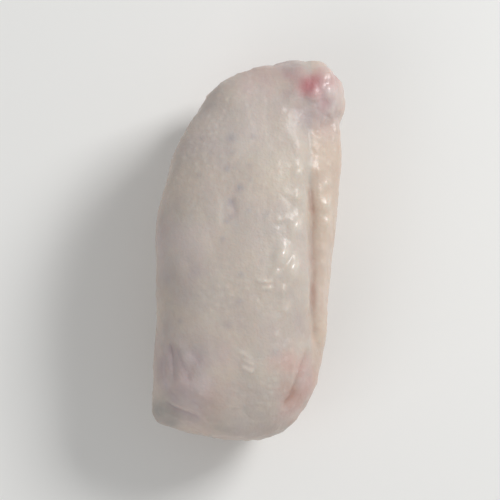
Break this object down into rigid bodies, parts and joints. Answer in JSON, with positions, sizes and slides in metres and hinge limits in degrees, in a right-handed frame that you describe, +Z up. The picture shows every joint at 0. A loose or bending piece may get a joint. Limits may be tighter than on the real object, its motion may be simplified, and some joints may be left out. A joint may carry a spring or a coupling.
{
  "type": "raw chicken wing",
  "caption": "Whole raw chicken wing with its skin on, folded shut: forearm on top, upper arm below, wing tip tucked along the side.",
  "frame": {"origin": "centre of the bounding box in X and Y, on the plane that the wing rests on", "axes": "+Y from the elbow to the wrist, +X to the trailing side of the forearm where the wing tip is tucked, +Z up out of the forearm's outer skin"},
  "size_m": [0.0376, 0.0732, 0.032],
  "materials": {
    "raw_skin": "moist, pale pinkish cream raw skin with a soft gloss"
  },
  "bodies": {
    "root": {"wing": "raw_skin"}
  },
  "joints": []
}
